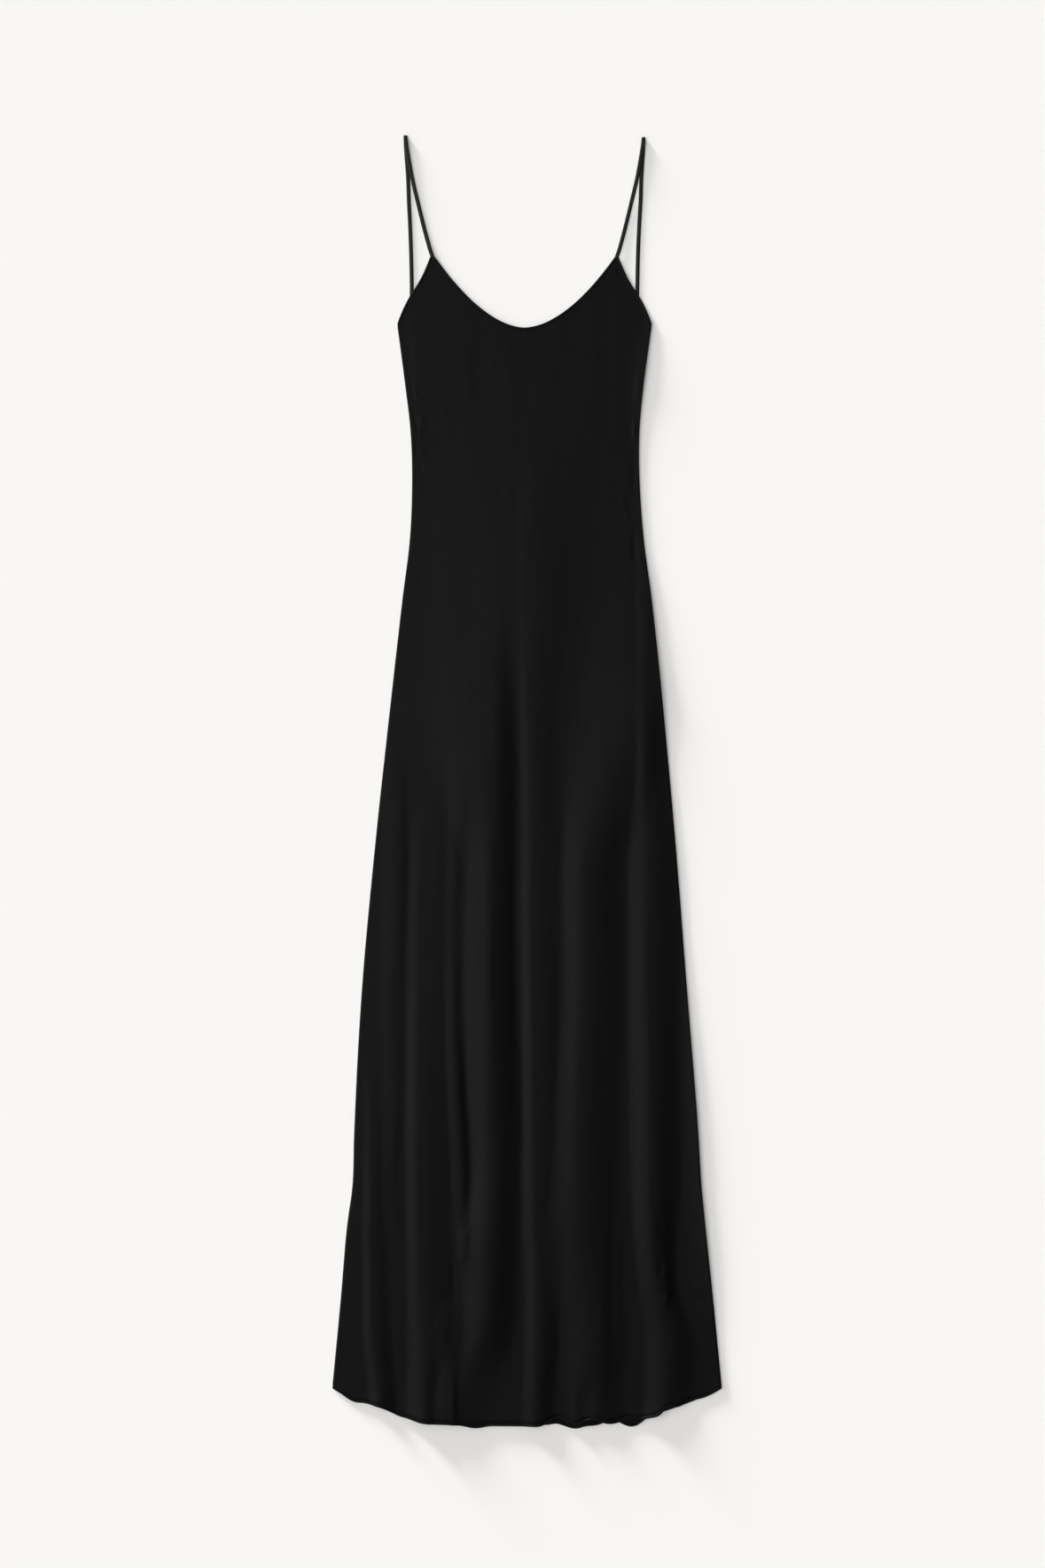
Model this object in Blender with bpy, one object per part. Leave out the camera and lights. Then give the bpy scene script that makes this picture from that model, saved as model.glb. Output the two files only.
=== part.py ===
"""Bias-cut slip dress laid flat: front panel, back panel and two narrow straps.

The dress lies on its back on a flat surface, neck towards +Y, front facing +Z.
The origin is under the middle of the whole outline, on the surface it lies on.
"""
import math
from collections import namedtuple

import bmesh
import bpy
from mathutils import Vector

MM = 0.001

# ---------------------------------------------------------------- driving sizes (mm)
CLOTH = 1.0                # wall of the satin panels
SEAM_GAP = 0.3             # clearance between pieces that are sewn together
UNDERARM_Y = 532.0         # level of the underarm corners, where the side seams end
HEM_CORNER_Y = -704.5      # level of the hem corners, where the side seams end below
HEM_SWEEP = 43.5           # how far the hem's middle drops below its corners
HEM_ROUNDNESS = 3.2        # power of the hem's curve: nearly level, then up to the corners
HEM_CORNER_HOLD = 12       # power that keeps the dips away from the hem's corners
BACK_HEM_LIFT = 3.0        # the back hem ends this much higher, under the front hem

STRAP_WIDTH = 4.6
STRAP_THICKNESS = 1.8
STRAP_SIDES = 8            # flats round a strap

FRONT_NECK_LOW = 527.0     # lowest point of the front neckline
FRONT_NECK_POWER = 1.8     # between a V (1) and a parabola (2)
BACK_NECK_LOW = 455.0      # the back is scooped lower, behind the front
BACK_NECK_POWER = 2.2
ARMHOLE_WAVE = 0.04        # S-shape of the front armholes, as a share of their height

FRONT_CROWN = 1.6          # air between the panels, at their middle
EDGE_SETTLE = 12.0         # the folds flatten out over this width at the side seams

FRONT_COLUMNS_SIDE = 8     # mesh columns from a side seam to a front strap point
FRONT_COLUMNS_MIDDLE = 38  # and between the two strap points
FRONT_ROWS = 28
BACK_COLUMNS_SIDE = 4
BACK_COLUMNS_MIDDLE = 44
BACK_ROWS = 24
HEM_SHARE = 0.12           # share of the length over which rows follow the hem's curve
TOP_SHARE = 0.28           # and over which they follow the neckline
TOP_FOLLOW = 1.5           # power of that change

# Side seams as laid: level, and where the left and right edges are there.
Side = namedtuple("Side", "y left right")
SIDES = (
    Side(532.0, -150.6, 144.8),     # underarm
    Side(455.0, -140.5, 134.5),
    Side(414.0, -135.6, 130.7),
    Side(332.0, -133.4, 131.3),     # waist
    Side(290.0, -135.2, 134.5),
    Side(208.0, -144.9, 145.0),
    Side(84.0, -159.0, 158.0),      # hip
    Side(-80.0, -176.8, 172.9),
    Side(-245.0, -191.8, 185.8),
    Side(-410.0, -200.6, 198.8),    # knee
    Side(-472.0, -202.8, 202.6),
    Side(-513.0, -208.4, 206.6),
    Side(-595.0, -215.6, 215.2),
    Side(-704.5, -226.0, 226.0),    # hem corner
)

# Where the straps are sewn on.
StrapPoint = namedtuple("StrapPoint", "x y")
FRONT_POINTS = (StrapPoint(-109.7, 609.8), StrapPoint(104.0, 608.7))
BACK_POINTS = (StrapPoint(-134.0, 548.0), StrapPoint(127.8, 548.0))

# Dips (+) and lifts (-) of a hem where a fold reaches it.
Dip = namedtuple("Dip", "x depth half_width")
FRONT_DIPS = (
    Dip(-205.0, 2.8, 16.0),
    Dip(-180.0, -4.0, 22.0),
    Dip(-163.0, -3.2, 18.0),
    Dip(-118.0, 1.6, 28.0),
    Dip(-60.0, 2.6, 20.0),
    Dip(36.0, -9.0, 24.0),
    Dip(76.0, -6.0, 22.0),
    Dip(116.0, -3.0, 14.0),
    Dip(164.0, -6.6, 14.0),
    Dip(187.0, -4.6, 30.0),
)
BACK_DIPS = (
    Dip(22.0, 2.0, 16.0),
    Dip(56.0, 6.4, 26.0),
    Dip(80.0, 3.4, 16.0),
    Dip(123.0, 10.0, 25.0),
)

# Folds of the front panel: ridges that run down towards the hem. At each level: where a
# ridge's top is, how high it stands, and how far its left and right flanks reach.
Top = namedtuple("Top", "y x rise left right")
FOLDS = (
    (                                   # broad swell over the hips
        Top(500, 4, 0.0, 120, 100),
        Top(290, 4, 2.0, 130, 80),
        Top(198, 4, 2.6, 132, 75),
        Top(105, 4, 2.0, 125, 66),
        Top(-80, 4, 0.0, 110, 60),
    ),
    (                                   # beside the left seam
        Top(-320, -181, 0.0, 12, 28),
        Top(-513, -180, 2.0, 14, 26),
        Top(-640, -176, 3.0, 16, 28),
        Top(-720, -168, 3.4, 20, 24),
    ),
    (                                   # left
        Top(-20, -120, 0.0, 18, 45),
        Top(-173, -125, 2.0, 15, 56),
        Top(-389, -127, 3.6, 15, 56),
        Top(-640, -120, 3.3, 19, 30),
        Top(-720, -121, 3.2, 22, 17),
    ),
    (                                   # narrow one next to it
        Top(40, -79, 0.0, 14, 14),
        Top(-173, -83, 1.2, 13, 14),
        Top(-358, -82, 2.4, 13, 16),
        Top(-560, -74, 0.0, 18, 12),
    ),
    (                                   # left of the middle
        Top(205, -44, 0.0, 100, 30),
        Top(105, -40, 3.1, 105, 28),
        Top(12, -41, 5.2, 76, 33),
        Top(-80, -42, 5.6, 42, 36),
        Top(-266, -45, 6.3, 42, 41),
        Top(-451, -42, 5.8, 27, 38),
        Top(-544, -45, 6.2, 42, 38),
        Top(-637, -48, 4.8, 27, 38),
        Top(-720, -57, 0.0, 24, 40),
    ),
    (                                   # middle
        Top(198, 3, 0.6, 17, 46),
        Top(12, 5, 2.0, 14, 36),
        Top(-266, 6, 3.4, 14, 46),
        Top(-513, 10, 3.7, 16, 36),
        Top(-720, 10, 3.6, 17, 24),
    ),
    (                                   # right of the middle
        Top(200, 150, 0.0, 110, 60),
        Top(105, 136, 3.2, 86, 70),
        Top(12, 98, 3.9, 57, 72),
        Top(-80, 70, 5.0, 33, 52),
        Top(-266, 65, 5.3, 29, 53),
        Top(-451, 60, 5.3, 33, 54),
        Top(-600, 71, 4.6, 47, 47),
        Top(-720, 74, 2.4, 40, 36),
    ),
    (                                   # right
        Top(105, 136, 0.7, 12, 18),
        Top(12, 138, 2.0, 13, 34),
        Top(-80, 140, 3.6, 24, 40),
        Top(-266, 141, 4.9, 25, 43),
        Top(-451, 143, 5.0, 25, 40),
        Top(-637, 157, 4.2, 23, 27),
        Top(-720, 150, 3.4, 26, 30),
    ),
    (                                   # over the back end of the left strap
        Top(532, -134, 0.6, 16, 16),
        Top(470, -134, 0.0, 16, 16),
    ),
    (                                   # over the back end of the right strap
        Top(532, 128, 0.6, 16, 16),
        Top(470, 128, 0.0, 16, 16),
    ),
)

# A strap from the back, up to the fold at the top, and down to the front.
Stop = namedtuple("Stop", "x y z")
STRAP_LOW = STRAP_THICKNESS / 2          # centre of a stretch that lies on the surface
STRAP_HIGH = 3.4                         # and of one that passes over the other stretch
STRAP_CROSSING = 3.1                     # just before the two stretches part
STRAP_PARTED = 1.3                       # and just after
STRAP_BESIDE = 1.2                       # halfway down to the front
STRAP_RISING = 2.6                       # as it meets the front's top edge
LEFT_BACK_STRETCH = (
    Stop(-134.0, 580.0, STRAP_LOW),
    Stop(-134.8, 616.0, STRAP_LOW),
    Stop(-136.0, 648.0, STRAP_LOW),
    Stop(-137.6, 674.0, STRAP_LOW),
    Stop(-138.8, 702.0, STRAP_LOW),
    Stop(-140.6, 735.0, STRAP_LOW),
)
LEFT_FRONT_STRETCH = (
    Stop(-139.6, 735.0, STRAP_HIGH),
    Stop(-133.6, 703.0, STRAP_CROSSING),
    Stop(-126.6, 672.0, STRAP_PARTED),
    Stop(-119.0, 641.0, STRAP_BESIDE),
    Stop(-112.9, 619.0, STRAP_RISING),
)
RIGHT_BACK_STRETCH = (
    Stop(128.2, 580.0, STRAP_LOW),
    Stop(129.0, 616.0, STRAP_LOW),
    Stop(130.4, 648.0, STRAP_LOW),
    Stop(131.9, 674.0, STRAP_LOW),
    Stop(133.3, 702.0, STRAP_LOW),
    Stop(134.9, 733.0, STRAP_LOW),
)
RIGHT_FRONT_STRETCH = (
    Stop(133.6, 733.0, STRAP_HIGH),
    Stop(128.2, 703.0, STRAP_CROSSING),
    Stop(121.0, 672.0, STRAP_PARTED),
    Stop(113.4, 641.0, STRAP_BESIDE),
    Stop(107.2, 618.0, STRAP_RISING),
)
LEFT_TURN = Stop(-141.2, 750.9, (STRAP_LOW + STRAP_HIGH) / 2)     # middle of the fold
RIGHT_TURN = Stop(135.4, 748.8, (STRAP_LOW + STRAP_HIGH) / 2)
TURN_STEPS = 6
STRAP_STEP = 9.0           # distance between a strap's rings

FRONT_SHADE = 0.010        # the black of each piece, as reflectance
BACK_SHADE = 0.009
STRAP_SHADE = 0.012
FRONT_ROUGHNESS = 0.42
BACK_ROUGHNESS = 0.45
STRAP_ROUGHNESS = 0.40


# ---------------------------------------------------------------- curves
def read_rows(rows, column, at):
    """Smooth curve through one column of a table, read at one level."""
    rows = rows[::-1]
    keys = [row.y for row in rows]
    values = [getattr(row, column) for row in rows]
    at = min(max(at, keys[0]), keys[-1])
    last = len(rows) - 1
    i = 0
    while i < last - 1 and at > keys[i + 1]:
        i += 1

    def slope(j):
        lower = max(j - 1, 0)
        upper = min(j + 1, last)
        return (values[upper] - values[lower]) / (keys[upper] - keys[lower])

    span = keys[i + 1] - keys[i]
    f = (at - keys[i]) / span
    start = (2 * f ** 3 - 3 * f ** 2 + 1) * values[i]
    start_slope = (f ** 3 - 2 * f ** 2 + f) * span * slope(i)
    end = (3 * f ** 2 - 2 * f ** 3) * values[i + 1]
    end_slope = (f ** 3 - f ** 2) * span * slope(i + 1)
    return start + start_slope + end + end_slope


def smooth_step(low, high, value):
    f = min(max((value - low) / (high - low), 0.0), 1.0)
    return f * f * (3 - 2 * f)


def dips_at(dips, x):
    """Sum of a hem's dips at x: each one is a single rounded wave."""
    drop = 0.0
    for dip in dips:
        d = abs(x - dip.x) / dip.half_width
        if d < 1:
            drop += dip.depth * math.cos(math.pi / 2 * d) ** 2
    return drop


# ---------------------------------------------------------------- outline of the dress
def side_edges(y):
    return read_rows(SIDES, "left", y), read_rows(SIDES, "right", y)


def x_at(across, y):
    """Place across the dress: -1 is the left edge and 1 the right edge."""
    left, right = side_edges(y)
    return (left + right) / 2 + across * (right - left) / 2


def across_at(x, y):
    left, right = side_edges(y)
    return (2 * x - left - right) / (right - left)


def top_edge(x, points, low, power, wave):
    """Level of a panel's top edge: armhole, strap point, neckline and back down."""
    half = STRAP_WIDTH / 2
    neck_left = points[0].x + half
    neck_right = points[1].x - half
    if neck_left < x < neck_right:
        middle = (neck_left + neck_right) / 2
        reach = abs(x - middle) / (neck_right - middle)
        height = points[0].y if x < middle else points[1].y
        return low + (height - low) * reach ** power
    left, right = side_edges(UNDERARM_Y)
    if x <= neck_left:
        corner, point, outer = left, points[0], points[0].x - half
    else:
        corner, point, outer = right, points[1], points[1].x + half
    share = min((x - corner) / (outer - corner), 1.0)
    rise = share + wave * math.sin(2 * math.pi * share)
    return UNDERARM_Y + (point.y - UNDERARM_Y) * rise


def hem_edge(across, dips, lift):
    """Level of a panel's hem."""
    sweep = HEM_SWEEP * (1 - abs(across) ** HEM_ROUNDNESS)
    x = x_at(across, HEM_CORNER_Y)
    corner_fade = 1 - abs(across) ** HEM_CORNER_HOLD
    return HEM_CORNER_Y - sweep + (lift - dips_at(dips, x)) * corner_fade


# ---------------------------------------------------------------- lie of the cloth
def fold_rise(tops, x, y):
    """Height that one fold adds at a place."""
    top = read_rows(tops, "x", y)
    flank = read_rows(tops, "left" if x < top else "right", y)
    d = (x - top) / flank
    if abs(d) >= 1:
        return 0.0
    return max(read_rows(tops, "rise", y), 0.0) * (1 - d * d) ** 2


def front_lie(x, y):
    """Level of the front panel's underside above the surface."""
    left, right = side_edges(y)
    rise = sum(fold_rise(tops, x, y) for tops in FOLDS)
    settle = smooth_step(0, EDGE_SETTLE, x - left) * smooth_step(0, EDGE_SETTLE, right - x)
    crown = FRONT_CROWN * max(1 - across_at(x, y) ** 2, 0.0)
    return CLOTH + SEAM_GAP + crown + rise * settle


def back_lie(_x, _y):
    """The back lies flat on the surface."""
    return 0.0


# ---------------------------------------------------------------- panels
def mesh_columns(points, side_count, middle_count):
    """Places across for the mesh columns, with one on each edge of each strap."""
    half = STRAP_WIDTH / 2
    edges = [point.x + sign * half for point in points for sign in (-1, 1)]
    stops = [-1.0] + [across_at(x, UNDERARM_Y) for x in edges] + [1.0]
    counts = (side_count, 1, middle_count, 1, side_count)
    columns = [stops[0]]
    for start, end, count in zip(stops, stops[1:], counts):
        columns += [start + (end - start) * i / count for i in range(1, count + 1)]
    return columns


def panel(name, columns, row_count, top, hem, lie, material):
    """A cloth wall: a grid laid out between hem and top edge, thickened upwards."""
    bm = bmesh.new()
    bmesh.ops.create_grid(bm, x_segments=len(columns) - 1, y_segments=row_count, size=1)
    bm.verts.ensure_lookup_table()
    for index, vert in enumerate(bm.verts):
        row, column = divmod(index, len(columns))
        across = columns[column]
        along = row / row_count
        level = HEM_CORNER_Y + (UNDERARM_Y - HEM_CORNER_Y) * along
        hem_follow = max(1 - along / HEM_SHARE, 0.0) ** 2
        top_follow = max((along - 1 + TOP_SHARE) / TOP_SHARE, 0.0) ** TOP_FOLLOW
        top_x = x_at(across, UNDERARM_Y)
        y = level + (hem(across) - HEM_CORNER_Y) * hem_follow
        y += (top(top_x) - UNDERARM_Y) * top_follow
        x = x_at(across, min(y, UNDERARM_Y))
        vert.co = Vector((x, y, lie(x, min(y, UNDERARM_Y)))) * MM
    bmesh.ops.recalc_face_normals(bm, faces=bm.faces)
    mesh = bpy.data.meshes.new(name)
    bm.to_mesh(mesh)
    bm.free()
    mesh.materials.append(material)
    mesh.shade_smooth()
    piece = bpy.data.objects.new(name, mesh)
    bpy.context.collection.objects.link(piece)
    wall = piece.modifiers.new("cloth wall", "SOLIDIFY")
    wall.thickness = CLOTH * MM
    wall.offset = 1
    wall.use_even_offset = True
    return piece


def front_panel(material):
    columns = mesh_columns(FRONT_POINTS, FRONT_COLUMNS_SIDE, FRONT_COLUMNS_MIDDLE)

    def top(x):
        return top_edge(x, FRONT_POINTS, FRONT_NECK_LOW, FRONT_NECK_POWER, ARMHOLE_WAVE)

    def hem(across):
        return hem_edge(across, FRONT_DIPS, 0.0)

    return panel("front_panel", columns, FRONT_ROWS, top, hem, front_lie, material)


def back_panel(material):
    columns = mesh_columns(BACK_POINTS, BACK_COLUMNS_SIDE, BACK_COLUMNS_MIDDLE)

    def top(x):
        return top_edge(x, BACK_POINTS, BACK_NECK_LOW, BACK_NECK_POWER, 0.0)

    def hem(across):
        return hem_edge(across, BACK_DIPS, BACK_HEM_LIFT)

    return panel("back_panel", columns, BACK_ROWS, top, hem, back_lie, material)


# ---------------------------------------------------------------- straps
def smooth_route(stops):
    """Points every STRAP_STEP along a smooth curve through the stops."""
    points = [Vector(stop) for stop in stops]
    route = [points[0]]
    for i in range(len(points) - 1):
        before = points[max(i - 1, 0)]
        start = points[i]
        end = points[i + 1]
        after = points[min(i + 2, len(points) - 1)]
        count = max(round((end - start).length / STRAP_STEP), 1)
        for k in range(1, count + 1):
            f = k / count
            bend = 2 * start + (end - before) * f
            bend += (2 * before - 5 * start + 4 * end - after) * f ** 2
            bend += (3 * start - before - 3 * end + after) * f ** 3
            route.append(bend / 2)
    return route


def turn_points(turn, radius):
    """Half circle over the fold at the strap's top end, from below to above."""
    centre = Vector((turn.x, turn.y - radius, turn.z))
    points = []
    for k in range(TURN_STEPS + 1):
        angle = math.pi * k / TURN_STEPS - math.pi / 2
        points.append(centre + Vector((0, math.cos(angle), math.sin(angle))) * radius)
    return points


def strap(name, back_stops, turn, front_stops, back_point, front_point, material):
    """One strap: a flattened tube of cloth from the back's top edge to the front's."""
    radius = (STRAP_HIGH - STRAP_LOW) / 2
    front_level = front_lie(front_point.x, UNDERARM_Y) + CLOTH / 2
    back_end = Stop(back_point.x, back_point.y + SEAM_GAP, STRAP_LOW)
    front_end = Stop(front_point.x, front_point.y + SEAM_GAP, front_level)
    over = turn_points(Stop(turn.x, turn.y - STRAP_LOW, turn.z), radius)
    route = smooth_route((back_end,) + back_stops + (Stop(*over[0]),))
    route += over[1:-1]
    route += smooth_route((Stop(*over[-1]),) + front_stops + (front_end,))

    bm = bmesh.new()
    rings = []
    last = len(route) - 1
    for i, point in enumerate(route):
        along = (route[min(i + 1, last)] - route[max(i - 1, 0)]).normalized()
        if i in (0, last):
            along = Vector((0, 1 if i == 0 else -1, 0))
        side = Vector((1, 0, 0))
        side = (side - along * side.dot(along)).normalized()
        up = side.cross(along)
        ring = []
        for k in range(STRAP_SIDES):
            angle = 2 * math.pi * (k + 0.5) / STRAP_SIDES
            reach = math.cos(math.pi / STRAP_SIDES)
            place = point + side * (math.cos(angle) / reach * STRAP_WIDTH / 2)
            place += up * (math.sin(angle) / reach * STRAP_THICKNESS / 2)
            ring.append(bm.verts.new(place * MM))
        rings.append(ring)
    for lower, upper in zip(rings, rings[1:]):
        for k in range(STRAP_SIDES):
            n = (k + 1) % STRAP_SIDES
            bm.faces.new((lower[k], lower[n], upper[n], upper[k]))
    bm.faces.new(rings[0])
    bm.faces.new(rings[-1])
    bmesh.ops.recalc_face_normals(bm, faces=bm.faces)
    mesh = bpy.data.meshes.new(name)
    bm.to_mesh(mesh)
    bm.free()
    mesh.materials.append(material)
    mesh.shade_smooth()
    piece = bpy.data.objects.new(name, mesh)
    bpy.context.collection.objects.link(piece)
    return piece


# ---------------------------------------------------------------- materials
def satin(name, shade, roughness):
    material = bpy.data.materials.new(name)
    material.use_nodes = True
    surface = material.node_tree.nodes["Principled BSDF"]
    surface.inputs["Base Color"].default_value = (shade, shade, shade, 1)
    surface.inputs["Roughness"].default_value = roughness
    surface.inputs["Metallic"].default_value = 0
    return material


def main():
    for thing in list(bpy.data.objects):
        bpy.data.objects.remove(thing, do_unlink=True)
    front_panel(satin("black satin front", FRONT_SHADE, FRONT_ROUGHNESS))
    back_panel(satin("black satin back", BACK_SHADE, BACK_ROUGHNESS))
    sides = (
        ("strap_left", LEFT_BACK_STRETCH, LEFT_TURN, LEFT_FRONT_STRETCH, 0),
        ("strap_right", RIGHT_BACK_STRETCH, RIGHT_TURN, RIGHT_FRONT_STRETCH, 1),
    )
    for name, back, turn, front, index in sides:
        cloth = satin("black satin " + name, STRAP_SHADE, STRAP_ROUGHNESS)
        strap(name, back, turn, front, BACK_POINTS[index], FRONT_POINTS[index], cloth)


main()
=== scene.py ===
import math
from collections import namedtuple

import bpy
import numpy as np
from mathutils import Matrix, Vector, noise


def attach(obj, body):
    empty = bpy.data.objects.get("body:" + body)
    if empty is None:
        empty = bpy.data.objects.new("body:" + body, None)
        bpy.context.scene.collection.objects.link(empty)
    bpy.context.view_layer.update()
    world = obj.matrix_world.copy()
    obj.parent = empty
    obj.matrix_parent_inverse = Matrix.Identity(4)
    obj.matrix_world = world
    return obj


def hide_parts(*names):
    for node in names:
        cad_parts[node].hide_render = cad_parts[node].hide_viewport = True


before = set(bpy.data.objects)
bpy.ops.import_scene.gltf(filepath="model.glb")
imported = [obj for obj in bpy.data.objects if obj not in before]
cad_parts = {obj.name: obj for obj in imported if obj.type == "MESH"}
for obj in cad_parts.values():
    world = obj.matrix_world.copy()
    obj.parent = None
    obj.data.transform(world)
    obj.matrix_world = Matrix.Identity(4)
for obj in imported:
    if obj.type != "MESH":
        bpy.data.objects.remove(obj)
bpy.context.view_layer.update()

MM = 0.001

# ---------------------------------------------------------------- the dress's sizes (mm)
SATIN = 0.6                # thickness of the satin shells
UNDERARM_Y = 532.0
HEM_CORNER_Y = -704.5      # level of the hem's two corners
HEM_SWEEP = 43.5           # how far the hem's middle hangs below its corners
HEM_ROUNDNESS = 3.2        # power of the hem's curve
HEM_CORNER_HOLD = 12       # the higher, the nearer to the corners the hem's dips reach
BACK_HEM_LIFT = 3.0        # how much higher the back's hem is than the front's
STRAP_WIDTH = 4.6
STRAP_THICKNESS = 1.3
FRONT_NECK_LOW = 527.0     # level of the neckline's lowest point
FRONT_NECK_POWER = 1.8     # power of the neckline's curve
BACK_NECK_LOW = 455.0
BACK_NECK_POWER = 2.2
ARMHOLE_WAVE = 0.04        # how far an armhole curves off a straight line, as a share of its height

FRONT_BASE = 1.2           # level of the front's underside where it lies on the back
FRONT_CROWN = 1.6          # how much higher the front lies along its middle
BACK_BASE = 0.15           # level of the back's underside
EDGE_SETTLE = 5.0          # the folds fade out over this width at the left side seam
TROUGH_SHARE = 0.6         # a trough takes up to this share of the crown
TROUGH_DEPTH = 0.2         # and this much more

# How many columns each stretch of a panel has: armhole, strap point, neckline, and back again.
FRONT_COLUMNS = (26, 2, 126, 2, 26)
FRONT_ROWS = 252
BACK_COLUMNS = (8, 2, 130, 2, 8)
BACK_ROWS = 180
HEM_SHARE = 0.12           # share of a panel's rows that follow the hem
HEM_FOLLOW = 2             # and how quickly they fall in with it
TOP_SHARE = 0.28           # the same for the top edge
TOP_FOLLOW = 1.5

Side = namedtuple("Side", "y left right")
SIDES = (
    Side(532.0, -150.6, 144.8),
    Side(455.0, -140.5, 134.5),
    Side(414.0, -135.6, 130.7),
    Side(332.0, -133.4, 131.3),
    Side(290.0, -135.2, 134.5),
    Side(208.0, -144.9, 145.0),
    Side(84.0, -159.0, 158.0),
    Side(-80.0, -176.8, 172.9),
    Side(-245.0, -191.8, 185.8),
    Side(-410.0, -200.6, 198.8),
    Side(-472.0, -202.8, 202.6),
    Side(-513.0, -208.4, 206.6),
    Side(-595.0, -215.6, 215.2),
    Side(-704.5, -226.0, 226.0),
)

StrapPoint = namedtuple("StrapPoint", "x y")
FRONT_POINTS = (StrapPoint(-109.7, 609.8), StrapPoint(104.0, 608.7))
BACK_POINTS = (StrapPoint(-134.0, 548.0), StrapPoint(127.8, 548.0))

Dip = namedtuple("Dip", "x depth half_width")
FRONT_DIPS = (
    Dip(-205.0, 2.8, 16.0),
    Dip(-180.0, -4.0, 22.0),
    Dip(-163.0, -3.2, 18.0),
    Dip(-118.0, 1.6, 28.0),
    Dip(-60.0, 2.6, 20.0),
    Dip(36.0, -9.0, 24.0),
    Dip(76.0, -6.0, 22.0),
    Dip(116.0, -3.0, 14.0),
    Dip(164.0, -6.6, 14.0),
    Dip(187.0, -4.6, 30.0),
)
BACK_DIPS = (
    Dip(22.0, 2.0, 16.0),
    Dip(56.0, 6.4, 26.0),
    Dip(80.0, 3.4, 16.0),
    Dip(123.0, 10.0, 25.0),
)

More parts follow.
